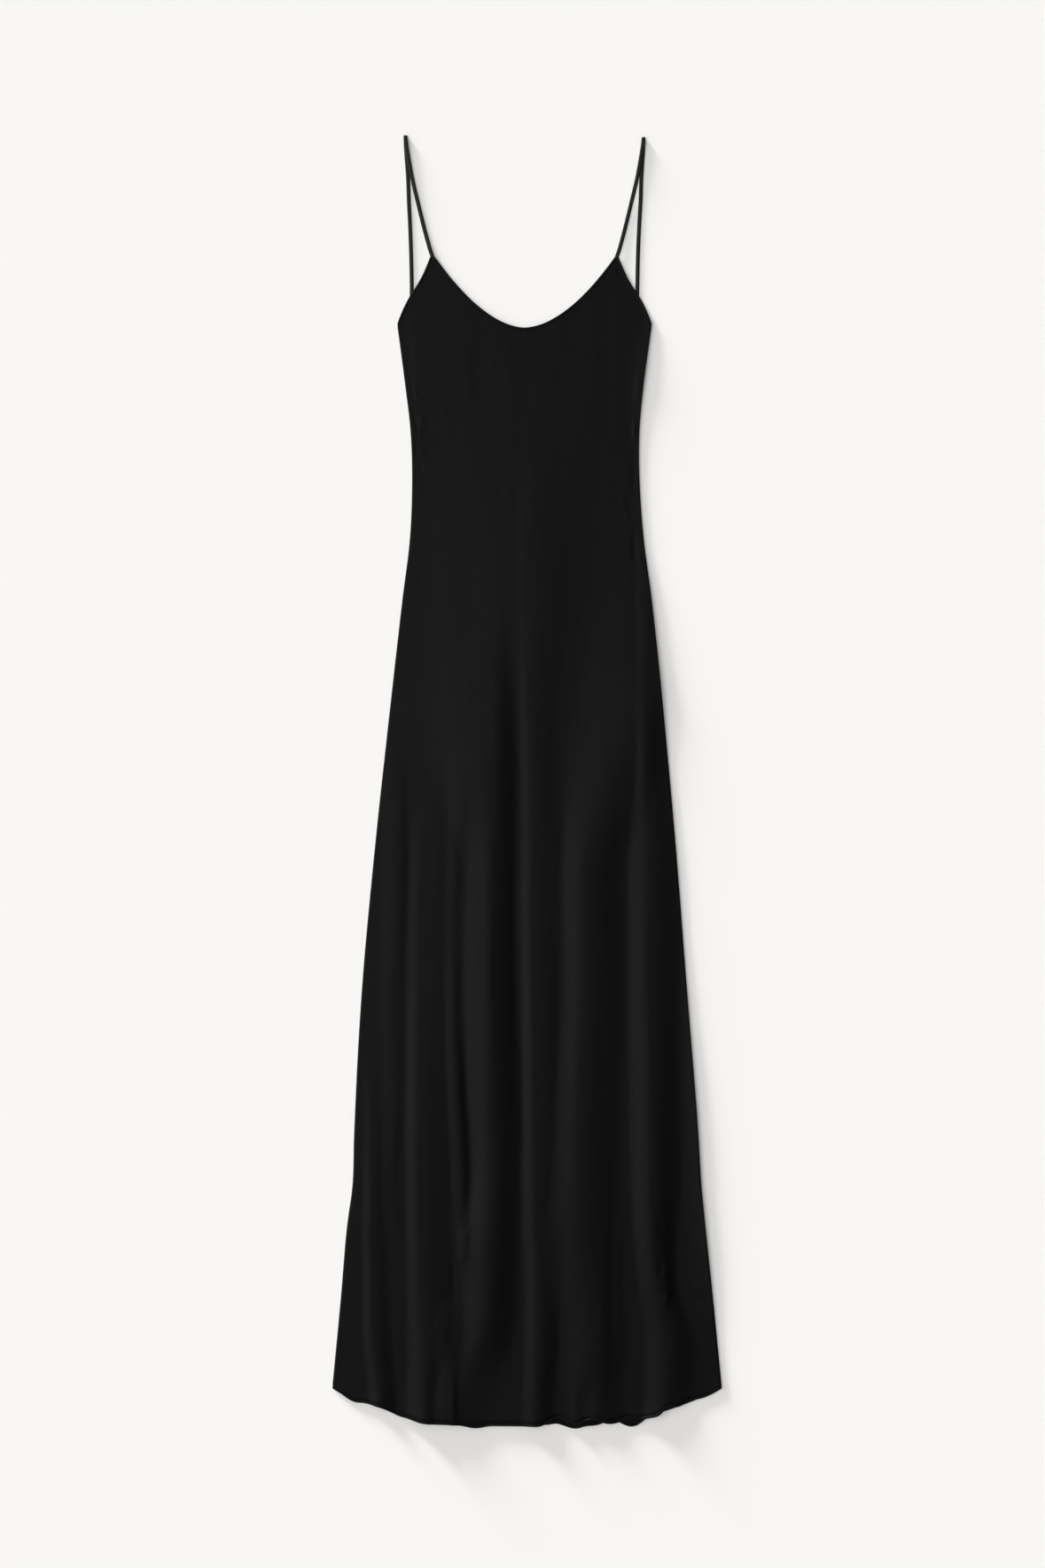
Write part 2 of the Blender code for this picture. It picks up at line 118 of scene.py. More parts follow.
# A fold is a ridge that runs down the skirt. At each level: where its top is, how high it
# stands, and how far its left and right flanks reach.
Top = namedtuple("Top", "y x rise left right")
FRONT_FOLDS = {
    "body": (
        Top(500, 4, 0.0, 120, 100),
        Top(383, 4, 1.0, 125, 90),
        Top(290, 4, 2.2, 130, 80),
        Top(198, 4, 3.2, 132, 75),
        Top(105, 4, 2.0, 125, 66),
        Top(12, 4, 1.0, 115, 60),
        Top(-80, 4, 0.0, 110, 60),
    ),
    "under the left arm": (
        Top(545, -130, 0.0, 12, 60),
        Top(500, -126, 0.5, 14, 70),
        Top(455, -122, 0.5, 14, 70),
        Top(405, -120, 0.0, 14, 70),
    ),
    "left seam": (
        Top(-320, -183, 0.0, 11, 26),
        Top(-389, -181, 1.0, 10, 23),
        Top(-451, -181, 1.6, 10, 22),
        Top(-513, -182, 2.0, 10, 22),
        Top(-575, -181.5, 2.3, 10, 24),
        Top(-640, -180, 3.0, 11, 24),
        Top(-705, -172, 3.2, 13, 22),
    ),
    "soft left": (
        Top(60, -156, 0.0, 18, 16),
        Top(-80, -150, 1.3, 22, 14),
        Top(-266, -156, 1.1, 18, 17),
        Top(-389, -156, 1.0, 13, 15),
        Top(-451, -159, 0.9, 12, 12),
        Top(-520, -156, 0.5, 13, 14),
        Top(-560, -152, 0.0, 16, 16),
    ),
    "left": (
        Top(-20, -120, 0.0, 18, 45),
        Top(-80, -122, 1.5, 16, 52),
        Top(-173, -125, 2.3, 16, 54),
        Top(-266, -126, 3.1, 15, 56),
        Top(-389, -127, 3.9, 15.5, 54),
        Top(-513, -126, 3.6, 15, 48),
        Top(-640, -121, 3.6, 20, 36),
        Top(-705, -121, 2.8, 21, 17),
    ),
    "narrow": (
        Top(40, -79, 0.0, 14, 14),
        Top(-20, -79, 0.5, 14, 14),
        Top(-80, -81, 1.0, 14, 14),
        Top(-173, -84, 1.3, 13, 13),
        Top(-266, -84, 2.0, 13, 13),
        Top(-358, -82, 2.4, 12.5, 15),
        Top(-451, -77, 2.0, 13, 12),
        Top(-520, -75, 1.2, 14, 12),
        Top(-560, -74, 0.0, 16, 10),
    ),
    "hem ripple": (
        Top(-600, -94, 0.0, 14, 18),
        Top(-637, -95, 1.0, 13, 19),
        Top(-700, -93, 1.0, 14, 17),
        Top(-745, -92, 0.4, 16, 15),
    ),
    "low left": (
        Top(-600, -96, 0.0, 30, 70),
        Top(-690, -102, 2.2, 40, 62),
        Top(-745, -104, 4.2, 44, 62),
    ),
    "left of middle": (
        Top(205, -44, 0.0, 100, 30),
        Top(150, -42, 1.5, 100, 28),
        Top(105, -40, 3.1, 105, 28),
        Top(60, -39, 4.4, 90, 29),
        Top(12, -41, 5.2, 76, 33),
        Top(-80, -42, 5.2, 39, 34),
        Top(-173, -44, 5.4, 39, 36),
        Top(-266, -45, 6.2, 37, 39),
        Top(-358, -43, 6.4, 31, 40),
        Top(-451, -42, 5.5, 24, 38),
        Top(-544, -45, 6.2, 35, 38),
        Top(-600, -47, 5.8, 30, 38),
        Top(-637, -48, 4.8, 27, 38),
        Top(-680, -55, 1.6, 26, 38),
        Top(-720, -57, 0.0, 24, 40),
    ),
    "middle": (
        Top(400, 6, 0.0, 18, 60),
        Top(290, 4, 0.7, 18, 50),
        Top(198, 3, 0.6, 17, 46),
        Top(150, 2, 0.8, 15, 42),
        Top(105, 3, 1.3, 14, 38),
        Top(12, 5, 2.0, 14, 36),
        Top(-80, 5, 2.7, 13, 42),
        Top(-173, 5, 3.0, 13, 44),
        Top(-266, 6, 3.4, 13.5, 46),
        Top(-389, 7.5, 3.6, 14, 42),
        Top(-513, 9.5, 3.7, 16, 36),
        Top(-575, 12, 3.8, 16, 30),
        Top(-637, 13, 3.8, 18, 28),
        Top(-710, 10, 3.6, 17, 24),
    ),
    "right of middle": (
        Top(260, 142, 0.0, 106, 40),
        Top(198, 140, 1.5, 100, 40),
        Top(150, 138, 2.6, 95, 50),
        Top(105, 134, 4.0, 86, 60),
        Top(43, 112, 4.1, 68, 66),
        Top(12, 98, 4.2, 57, 68),
        Top(-35, 82, 4.4, 44, 62),
        Top(-80, 70, 5.0, 33, 52),
        Top(-173, 67, 5.4, 30, 52),
        Top(-266, 65, 5.3, 29, 53),
        Top(-358, 60, 5.3, 29, 55),
        Top(-451, 60, 5.3, 33, 54),
        Top(-544, 64, 4.8, 46, 54),
        Top(-600, 71, 4.6, 47, 47),
        Top(-637, 76, 4.6, 42, 44),
        Top(-710, 74, 3.0, 36, 42),
    ),
    "right": (
        Top(290, 136, 0.0, 18, 14),
        Top(198, 137, 0.9, 12, 12),
        Top(105, 136, 0.7, 12, 18),
        Top(12, 138, 2.0, 13, 34),
        Top(-80, 140, 3.6, 24, 40),
        Top(-173, 140, 4.4, 24, 43),
        Top(-266, 141, 4.9, 25, 43),
        Top(-358, 142, 5.0, 25, 42),
        Top(-451, 143, 5.0, 25, 40),
        Top(-544, 145.5, 5.0, 22, 30),
        Top(-600, 154, 4.6, 25, 26),
        Top(-637, 160, 4.3, 26, 37),
        Top(-710, 158, 4.0, 25, 40),
    ),
}

# The right edge stands up a little: how high, and over what width it climbs.
Lift = namedtuple("Lift", "y height reach")
RIGHT_LIFTS = (
    Lift(532, 0.7, 14),
    Lift(476, 2.2, 24),
    Lift(430, 1.2, 18),
    Lift(383, 0.5, 14),
    Lift(290, 0.4, 12),
    Lift(198, 0.6, 14),
    Lift(105, 0.6, 18),
    Lift(12, 0.2, 14),
    Lift(-80, 0.2, 14),
    Lift(-173, 0.4, 16),
    Lift(-266, 1.3, 20),
    Lift(-358, 2.1, 23),
    Lift(-451, 2.4, 26),
    Lift(-544, 2.2, 28),
    Lift(-600, 1.1, 28),
    Lift(-637, 0.3, 20),
    Lift(-704.5, 0.3, 20),
)

# The same kind of folds on the back, where the cloth lifts off the surface.
BACK_FOLDS = {
    "back left": (
        Top(20, -96, 0.0, 30, 26),
        Top(-200, -104, 1.2, 30, 24),
        Top(-480, -112, 1.9, 34, 26),
        Top(-710, -120, 2.2, 36, 30),
    ),
    "back middle": (
        Top(120, -30, 0.0, 26, 30),
        Top(-120, -34, 1.5, 26, 32),
        Top(-420, -40, 2.4, 28, 34),
        Top(-710, -46, 1.6, 30, 34),
    ),
    "back right": (
        Top(60, 62, 0.0, 30, 32),
        Top(-160, 64, 1.6, 28, 36),
        Top(-430, 66, 2.2, 32, 34),
        Top(-720, 74, 2.4, 34, 28),
    ),
    "back far right": (
        Top(-60, 128, 0.0, 24, 28),
        Top(-300, 134, 1.6, 26, 30),
        Top(-720, 150, 2.4, 34, 28),
    ),
}

# Very low uneven waves: how high, how wide and how long, and which stretch of the noise.
Ripple = namedtuple("Ripple", "height wide long offset")
FRONT_RIPPLES = (Ripple(0.22, 26, 190, 3.0), Ripple(0.10, 9, 42, 8.0))
BACK_RIPPLE = Ripple(0.2, 30, 160, 5.0)

# Short creases: from and to, half width, and height (+ ridge, - trough).
Crease = namedtuple("Crease", "x0 y0 x1 y1 half height")
FRONT_CREASES = (
    Crease(-131.6, 464, -127.4, 444, 2.6, 0.7),   # drag lines at the left side seam
    Crease(-122.2, 454, -120, 445, 2.6, -0.5),
    Crease(-132.7, 449, -129, 440, 2.4, -0.5),
    Crease(-133.8, 438, -127.4, 430, 2.4, 0.5),
    Crease(-133.3, 432, -125.2, 402, 2.8, -1.2),
    Crease(-126.4, 429, -118, 414, 2.8, 0.6),
    Crease(-126.4, 416, -122.7, 401, 2.6, 0.6),
    Crease(-132, 410, -127.4, 402, 2.4, 0.6),
    Crease(-130.2, 400, -127.6, 374, 3.4, -1.9),
    Crease(-123.2, 371, -122.2, 358, 3.2, -0.5),
    Crease(-130, 366, -127, 340, 3, -0.4),
    Crease(131, 490, 127, 430, 5, 0.5),           # and at the right one
    Crease(124.3, 423, 125.3, 395, 3, 0.8),
    Crease(125, 391, 124, 332, 4, -0.7),
    Crease(90, 322, 107, 322, 4, 0.3),
    Crease(107.5, 328, 120, 302, 3, 0.4),
    Crease(124.5, 295, 125, 253, 5, -0.6),
    Crease(128, 263, 137, 251, 3, 0.7),
    Crease(135, 215, 125, 200, 4, 0.6),
    Crease(-45, 30, -45, -420, 11, 0.6),          # sharp crest left of the middle
    Crease(-15, 60, -14, -420, 8, -0.35),         # and the sharp foot of its right flank
    Crease(-74, -500, -75, -580, 9, 1.1),
    Crease(-73, -290, -70, -400, 5, -0.3),        # between the narrow fold and its neighbour
    Crease(-88, -545, -84, -612, 4, -0.6),
    Crease(-87, -668, -85, -770, 6, 0.9),         # notches at the hem
    Crease(-111, -650, -114, -790, 9, -0.35),
    Crease(68, -680, 68, -790, 13, -1.3),
    Crease(99, -420, 99, -760, 6, -0.35),
    Crease(-202, -716, -160, -727, 8, 0.9),       # the hem's edge curls up here and there
    Crease(-135, -737, -108, -742, 8, 0.8),
    Crease(128, -740, 160, -734, 9, 1.4),
    Crease(115, -577, 98, -600, 2.2, -0.6),       # crumples above the right hem
    Crease(76.7, -629, 56.7, -657, 2.6, -0.6),
    Crease(84.4, -604, 87.4, -616, 3, 0.5),
    Crease(123, -552, 132, -557, 2.4, 0.5),
    Crease(132, -557, 146, -544, 2.4, -0.5),
    Crease(144, -502, 150, -524, 2.8, 0.6),
    Crease(152, -508, 158, -524, 2.6, -0.5),
    Crease(154, -548, 155, -584, 4.5, -0.8),
    Crease(165.6, -581, 156.8, -619, 3, 0.7),
    Crease(140, -520, 128, -540, 3, -0.4),
    Crease(185, -584, 213, -592, 4.5, 0.7),
    Crease(188, -598, 216, -605, 5, -0.6),
    Crease(155.6, -670, 155.6, -730, 3, -0.3),
    Crease(-60, -500, -74, -540, 3, 0.5),
    Crease(-74, -508, -62, -524, 2.5, -0.5),
    Crease(-100, -622, -112, -652, 3, 0.4),
)

# Straps: from the back, up to the turn, and down to the front.
Stop = namedtuple("Stop", "x y z")
STRAP_LOW = STRAP_THICKNESS / 2   # level of a strap's centre where it lies on the surface
STRAP_HIGH = 2.3           # and where it has turned over at the top
TUCK_LEVEL = 1.6           # and where it is tucked under the front's point
STRAPS = {
    "left": {
        "back": (
            Stop(-134.0, 543.5, 1.3),
            Stop(-134.0, 556.0, STRAP_LOW),
            Stop(-134.0, 580.0, STRAP_LOW),
            Stop(-134.8, 616.0, STRAP_LOW),
            Stop(-136.0, 648.0, STRAP_LOW),
            Stop(-137.3, 674.0, STRAP_LOW),
            Stop(-138.3, 702.0, STRAP_LOW),
            Stop(-140.6, 735.0, STRAP_LOW),
        ),
        "turn": Stop(-141.2, 750.9, (STRAP_LOW + STRAP_HIGH) / 2),
        "front": (
            Stop(-139.6, 735.0, STRAP_HIGH),
            Stop(-133.7, 703.0, 2.1),
            Stop(-126.6, 672.0, 1.3),
            Stop(-119.0, 641.0, 1.1),
            Stop(-112.9, 619.0, 1.7),
            Stop(-110.2, 611.0, TUCK_LEVEL),
            Stop(-108.6, 604.0, TUCK_LEVEL),
        ),
    },
    "right": {
        "back": (
            Stop(127.8, 543.5, 1.3),
            Stop(127.8, 556.0, STRAP_LOW),
            Stop(128.2, 580.0, STRAP_LOW),
            Stop(129.0, 616.0, STRAP_LOW),
            Stop(130.4, 648.0, STRAP_LOW),
            Stop(131.9, 674.0, STRAP_LOW),
            Stop(132.9, 702.0, STRAP_LOW),
            Stop(134.9, 733.0, STRAP_LOW),
        ),
        "turn": Stop(135.4, 748.8, (STRAP_LOW + STRAP_HIGH) / 2),
        "front": (
            Stop(133.6, 733.0, STRAP_HIGH),
            Stop(128.3, 703.0, 2.1),
            Stop(121.0, 672.0, 1.3),
            Stop(113.4, 641.0, 1.1),
            Stop(107.2, 618.0, 1.7),
            Stop(104.5, 610.0, TUCK_LEVEL),
            Stop(103.0, 603.0, TUCK_LEVEL),
        ),
    },
}
STRAP_STEP = 2.0           # distance between a strap's rings
STRAP_SIDES = 16
TURN_STEPS = 12            # rings over a strap's turn

ROLL_WIDTH = 3.2           # rolled edge of neckline, armholes and hem
ROLL_THICKNESS = 1.1
ROLL_CLEARANCE = 0.02      # least gap between a roll and the surface
ROLL_SIDES = 10
SEAM_ROLL_WIDTH = 1.8      # the side seam, seen edge on
OVERHANG = 0.3             # how far a roll or seam stands out past the cloth's edge
SEAM_SAMPLE = 1.0          # the seam's foot is the back's level this far inside the edge

END_TAPER = 0.55           # how much narrower a tube's two end rings are
SQUARENESS = 0.8           # under 1, a tube's flattened section is fuller at its sides
MERGE = 0.02               # points closer than this become one

# ---------------------------------------------------------------- finishes
Finish = namedtuple("Finish", "name dark light roughness specular")
SATIN_DARK = (0.0006, 0.0006, 0.0006)
SATIN_LIGHT = (0.0020, 0.0020, 0.0020)
STRAP_DARK = (0.003, 0.003, 0.003)
STRAP_LIGHT = (0.006, 0.006, 0.0056)
FRONT_FINISH = Finish("black satin", SATIN_DARK, SATIN_LIGHT, 0.34, 0.082)
BACK_FINISH = Finish("black satin, back", SATIN_DARK, SATIN_LIGHT, 0.36, 0.078)
STRAP_FINISH = Finish("black satin, straps", STRAP_DARK, STRAP_LIGHT, 0.40, 0.2)

THREAD = 0.0005            # distance between the weave's floats, in metres of cloth
BAND_PITCH = 0.314         # distance between a wave texture's bands at a scale of 1
FLOAT_WANDER = 1.2         # how unevenly the floats run
FLOAT_DETAIL = 1.0
FLOAT_DETAIL_SCALE = 0.35
BIAS = 45                  # degrees between the weave and the dress's length
YARN_SCALE = 95            # thick and thin yarn, drawn out along the thread
YARN_DETAIL = 3
YARN_STRETCH = 0.12
YARN_RELIEF = 0.5          # how much of the relief is yarn, next to the floats
CLOUD_SCALE = 9            # broad changes of tone and gloss
CLOUD_DETAIL = 2
CLOUD_LOW = 0.3
CLOUD_HIGH = 0.7
GLOSS_SWING = 0.03         # how far the roughness changes either way
TONE_MIX = 0.5             # how far yarn and cloud turn the dark shade to the light one
WEAVE_RELIEF = 0.00002     # depth of the weave, in metres

FLOOR_SIZE = 12            # metres
FLOOR_SHADE = (0.889, 0.882, 0.872)


# ---------------------------------------------------------------- curves
def read_rows(rows, column, at):
    """Smooth curve through one column of a table, read at these levels."""
    rows = sorted(rows, key=lambda row: row.y)
    keys = np.array([row.y for row in rows], float)
    values = np.array([getattr(row, column) for row in rows], float)
    at = np.clip(at, keys[0], keys[-1])
    i = np.clip(np.searchsorted(keys, at, side="right") - 1, 0, len(keys) - 2)
    slopes = np.gradient(values, keys)
    span = keys[i + 1] - keys[i]
    f = (at - keys[i]) / span
    start = (2 * f ** 3 - 3 * f ** 2 + 1) * values[i]
    start_slope = (f ** 3 - 2 * f ** 2 + f) * span * slopes[i]
    end = (3 * f ** 2 - 2 * f ** 3) * values[i + 1]
    end_slope = (f ** 3 - f ** 2) * span * slopes[i + 1]
    return start + start_slope + end + end_slope


def smooth_step(low, high, value):
    """0 up to low, 1 from high on, and a soft climb between."""
    f = np.clip((value - low) / (high - low), 0.0, 1.0)
    return f * f * (3 - 2 * f)


def rounded(d):
    """Soft hump: 1 at 0, down to 0 at 1 either way."""
    return np.clip(1 - d * d, 0.0, None) ** 2


# ---------------------------------------------------------------- outline of the dress
def side_edges(y):
    return read_rows(SIDES, "left", y), read_rows(SIDES, "right", y)


def x_at(across, y):
    left, right = side_edges(y)
    return (left + right) / 2 + across * (right - left) / 2


def across_at(x, y):
    left, right = side_edges(y)
    return (2 * x - left - right) / (right - left)


def top_edge(x, points, low, power, wave):
    """Level of a panel's top edge at x: armhole, strap point, neckline, and down again."""
    half = STRAP_WIDTH / 2
    neck_left = points[0].x + half
    neck_right = points[1].x - half
    middle = (neck_left + neck_right) / 2
    reach = np.abs(x - middle) / (neck_right - middle)
    height = np.where(x < middle, points[0].y, points[1].y)
    neckline = low + (height - low) * np.clip(reach, 0, 1) ** power
    left, right = side_edges(UNDERARM_Y)
    corner = np.where(x < middle, left, right)
    outer = np.where(x < middle, points[0].x - half, points[1].x + half)
    share = np.clip((x - corner) / (outer - corner), 0, 1)
    climb = share + wave * np.sin(2 * math.pi * share)
    armhole = UNDERARM_Y + (height - UNDERARM_Y) * climb
    return np.where((x > neck_left) & (x < neck_right), neckline, armhole)


def front_top(x):
    return top_edge(x, FRONT_POINTS, FRONT_NECK_LOW, FRONT_NECK_POWER, ARMHOLE_WAVE)


def back_top(x):
    return top_edge(x, BACK_POINTS, BACK_NECK_LOW, BACK_NECK_POWER, 0.0)


def hem_edge(across, dips, lift):
    sweep = HEM_SWEEP * (1 - np.abs(across) ** HEM_ROUNDNESS)
    x = x_at(across, HEM_CORNER_Y)
    drop = 0.0
    for dip in dips:
        d = np.clip((x - dip.x) / dip.half_width, -1, 1)
        drop = drop + dip.depth * np.cos(math.pi / 2 * d) ** 2
    corner_fade = 1 - np.abs(across) ** HEM_CORNER_HOLD
    return HEM_CORNER_Y - sweep + (lift - drop) * corner_fade


def front_hem(across):
    return hem_edge(across, FRONT_DIPS, 0.0)


def back_hem(across):
    return hem_edge(across, BACK_DIPS, BACK_HEM_LIFT)


# ---------------------------------------------------------------- lie of the cloth
def folds_height(folds, x, y):
    height = np.zeros_like(x)
    for tops in folds.values():
        top = read_rows(tops, "x", y)
        rise = np.maximum(read_rows(tops, "rise", y), 0)
        left = read_rows(tops, "left", y)
        right = read_rows(tops, "right", y)
        height += rise * rounded((x - top) / np.where(x < top, left, right))
    return height


def creases_height(creases, x, y):
    height = np.zeros_like(x)
    for crease in creases:
        run = np.array([crease.x1 - crease.x0, crease.y1 - crease.y0], float)
        length = np.hypot(*run)
        along = ((x - crease.x0) * run[0] + (y - crease.y0) * run[1]) / length ** 2
        off = ((x - crease.x0) * run[1] - (y - crease.y0) * run[0]) / length
        height += crease.height * rounded(2 * along - 1) * rounded(off / crease.half)
    return height


def ripple(x, y, wave):
    """Very low uneven waves, longer down the cloth than across it, about -1 to 1."""
    points = zip(x.ravel() / wave.wide, y.ravel() / wave.long)
    flat = [noise.noise(Vector((a, b, wave.offset))) for a, b in points]
    return np.array(flat).reshape(x.shape)


def settle(x, y):
    """0 at the left side seam, 1 where the folds stand at their full height."""
    left = side_edges(np.minimum(y, UNDERARM_Y))[0]
    return smooth_step(0, EDGE_SETTLE, x - left)


def edge_lift(x, y):
    """How far the cloth climbs to the right side seam."""
    level = np.minimum(y, UNDERARM_Y)
    right = side_edges(level)[1]
    inside = (right - x) / read_rows(RIGHT_LIFTS, "reach", level)
    return read_rows(RIGHT_LIFTS, "height", level) * np.clip(1 - inside, 0, None) ** 2


def front_lie(x, y):
    """Level of the front's underside."""
    level = np.minimum(y, UNDERARM_Y)
    crown = FRONT_CROWN * np.maximum(1 - across_at(x, level) ** 2, 0)
    drape = folds_height(FRONT_FOLDS, x, y) + creases_height(FRONT_CREASES, x, y)
    drape += sum(wave.height * ripple(x, y, wave) for wave in FRONT_RIPPLES)
    drape = np.maximum(drape, -TROUGH_SHARE * crown - TROUGH_DEPTH)
    return FRONT_BASE + crown + drape * settle(x, y) + edge_lift(x, y)


def back_lie(x, y):
    """Level of the back's underside."""
    lifted = folds_height(BACK_FOLDS, x, y)
    lifted += BACK_RIPPLE.height * (1 + ripple(x, y, BACK_RIPPLE))
    return BACK_BASE + lifted * settle(x, y)


# ---------------------------------------------------------------- making meshes
def deselect_all():
    bpy.ops.object.select_all(action="DESELECT")


def grid_piece(name, place):
    """A grid whose points lie at place[row, column], an array of points in millimetres."""
    rows, columns = place.shape[:2]
    deselect_all()
    bpy.ops.mesh.primitive_grid_add(x_subdivisions=columns - 1, y_subdivisions=rows - 1)
    piece = bpy.context.object
    piece.name = name
    piece.data.name = name
    piece.data.vertices.foreach_set("co", (place * MM).astype(np.float32).ravel())
    piece.data.update()
    return piece


def apply(piece, modifier):
    deselect_all()
    piece.select_set(True)
    bpy.context.view_layer.objects.active = piece
    bpy.ops.object.modifier_apply(modifier=modifier.name)


def weave_map(piece, place):
    """UV in metres of cloth: how far across and along the cut piece a point lies."""
    across = np.linalg.norm(np.diff(place, axis=1), axis=2)
    along = np.linalg.norm(np.diff(place, axis=0), axis=2)
    u = np.concatenate([np.zeros((len(place), 1)), np.cumsum(across, axis=1)], axis=1)
    u -= u[:, u.shape[1] // 2, None]
    v = np.concatenate([np.zeros((1, place.shape[1])), np.cumsum(along, axis=0)], axis=0)
    corner = np.empty(len(piece.data.loops), np.int32)
    piece.data.loops.foreach_get("vertex_index", corner)
    uv = np.stack([u.ravel()[corner], v.ravel()[corner]], axis=1) * MM
    layer = piece.data.uv_layers.active or piece.data.uv_layers.new(name="cloth")
    layer.name = "cloth"
    layer.data.foreach_set("uv", uv.astype(np.float32).ravel())


def panel_places(points, counts, row_count, top, hem, lie):
    """Where the points of a panel's underside lie."""
    half = STRAP_WIDTH / 2
    edges = [point.x + sign * half for point in points for sign in (-1, 1)]
    stops = [-1.0] + [float(across_at(x, UNDERARM_Y)) for x in edges] + [1.0]
    columns = [np.array([-1.0])]
    for start, end, count in zip(stops, stops[1:], counts):
        columns.append(np.linspace(start, end, count + 1)[1:])
    rows = np.linspace(0, 1, row_count + 1)
    across, along = np.meshgrid(np.concatenate(columns), rows)
    level = HEM_CORNER_Y + (UNDERARM_Y - HEM_CORNER_Y) * along
    hem_follow = np.clip(1 - along / HEM_SHARE, 0, None) ** HEM_FOLLOW
    top_follow = np.clip((along - 1 + TOP_SHARE) / TOP_SHARE, 0, None) ** TOP_FOLLOW
    y = level + (hem(across) - HEM_CORNER_Y) * hem_follow
    y += (top(x_at(across, UNDERARM_Y)) - UNDERARM_Y) * top_follow
    x = x_at(across, np.minimum(y, UNDERARM_Y))
    return np.stack([x, y, lie(x, y)], axis=2)


def panel(name, place, material):
    piece = grid_piece(name, place)
    weave_map(piece, place)
    wall = piece.modifiers.new("satin", "SOLIDIFY")
    wall.thickness = SATIN * MM
    wall.offset = 1
    apply(piece, wall)
    piece.data.shade_smooth()
    piece.data.materials.append(material)
    return piece


def tube(name, route, width, thickness, sides, material, upright=False):
    """A closed flattened tube along a route. upright keeps its width level with +X."""
    last = len(route) - 1
    thickness = np.broadcast_to(thickness, last + 1)
    turn = 2 * math.pi * np.arange(sides + 1) / sides
    rise = np.sign(np.sin(turn)) * np.abs(np.sin(turn)) ** SQUARENESS
    place = np.empty((len(route), sides + 1, 3))
    for i, point in enumerate(route):
        along = route[min(i + 1, last)] - route[max(i - 1, 0)]
        along = along / np.linalg.norm(along)
        side = np.array([1.0, 0, 0]) if upright else np.cross(along, [0, 0, 1.0])
        side = side - along * side.dot(along)
        side = side / np.linalg.norm(side)
        up = np.cross(side, along)
        swell = 1 - END_TAPER * (i in (0, last))
        ring = np.outer(np.cos(turn) * width / 2 * swell, side)
        ring += np.outer(rise * thickness[i] / 2 * swell, up)
        place[i] = point + ring
    piece = grid_piece(name, place)
    weave_map(piece, place)
    bpy.ops.object.mode_set(mode="EDIT")
    bpy.ops.mesh.select_all(action="SELECT")
    bpy.ops.mesh.remove_doubles(threshold=MERGE * MM)
    bpy.ops.mesh.select_all(action="SELECT")
    bpy.ops.mesh.fill_holes(sides=0)
    bpy.ops.mesh.select_all(action="SELECT")
    bpy.ops.mesh.normals_make_consistent(inside=False)
    bpy.ops.object.mode_set(mode="OBJECT")
    piece.data.shade_smooth()
    piece.data.materials.append(material)
    return piece


# ---------------------------------------------------------------- straps
def smooth_route(stops, step):
    """Points every step along a smooth curve through the stops."""
    points = np.array(stops, float)
    route = [points[0]]
    for i in range(len(points) - 1):
        before = points[max(i - 1, 0)]
        start = points[i]
        end = points[i + 1]
        after = points[min(i + 2, len(points) - 1)]
        count = max(round(float(np.linalg.norm(end - start)) / step), 1)
        for f in np.arange(1, count + 1) / count:
            bend = 2 * start + (end - before) * f
            bend = bend + (2 * before - 5 * start + 4 * end - after) * f ** 2
            bend = bend + (3 * start - before - 3 * end + after) * f ** 3
            route.append(bend / 2)
    return route


def strap_route(strap):
    """Points along a strap: up from the back, over the turn, and down to the front."""
    radius = (STRAP_HIGH - STRAP_LOW) / 2
    turn = strap["turn"]
    centre = np.array([turn.x, turn.y - STRAP_LOW - radius, turn.z])
    angles = np.linspace(-math.pi / 2, math.pi / 2, TURN_STEPS + 1)
    over = [centre + radius * np.array([0, math.cos(a), math.sin(a)]) for a in angles]
    route = smooth_route(strap["back"] + (Stop(*over[0]),), STRAP_STEP)
    route += over[1:-1]
    route += smooth_route((Stop(*over[-1]),) + strap["front"], STRAP_STEP)
    return route


# ---------------------------------------------------------------- edges and seams
def edge_run(edge, inner, inset):
    """Points at inset from an edge, given points on the edge and just inside it."""
    inward = inner - edge
    inward[:, 2] = 0
    inward = inward / np.linalg.norm(inward, axis=1)[:, None]
    tangent = np.gradient(edge, axis=0)
    tangent[:, 2] = 0
    tangent = tangent / np.linalg.norm(tangent, axis=1)[:, None]
    square = inward - tangent * np.sum(inward * tangent, axis=1)[:, None]
    square = square / np.linalg.norm(square, axis=1)[:, None]
    return edge + square * inset


# ---------------------------------------------------------------- materials
def new_group(name, inputs, outputs):
    group = bpy.data.node_groups.new(name, "ShaderNodeTree")
    for socket, kind, value in inputs:
        item = group.interface.new_socket(socket, in_out="INPUT", socket_type=kind)
        item.default_value = value
    for socket, kind in outputs:
        group.interface.new_socket(socket, in_out="OUTPUT", socket_type=kind)
    return group, group.nodes.new("NodeGroupInput"), group.nodes.new("NodeGroupOutput")


def plug(tree, socket, value):
    """Give a socket a number, or lead another node's output to it."""
    if isinstance(value, bpy.types.NodeSocket):
        tree.links.new(value, socket)
    else:
        socket.default_value = value


def maths(tree, operation, *values):
    node = tree.nodes.new("ShaderNodeMath")
    node.operation = operation
    for socket, value in zip(node.inputs, values):
        plug(tree, socket, value)
    return node.outputs[0]


def map_range(tree, value, start, end, interpolation="LINEAR"):
    """start and end are pairs: a value, and what comes out there."""
    node = tree.nodes.new("ShaderNodeMapRange")
    node.interpolation_type = interpolation
    for name, (value_in, value_out) in (("Min", start), ("Max", end)):
        node.inputs["From " + name].default_value = value_in
        node.inputs["To " + name].default_value = value_out
    tree.links.new(value, node.inputs["Value"])
    return node.outputs["Result"]


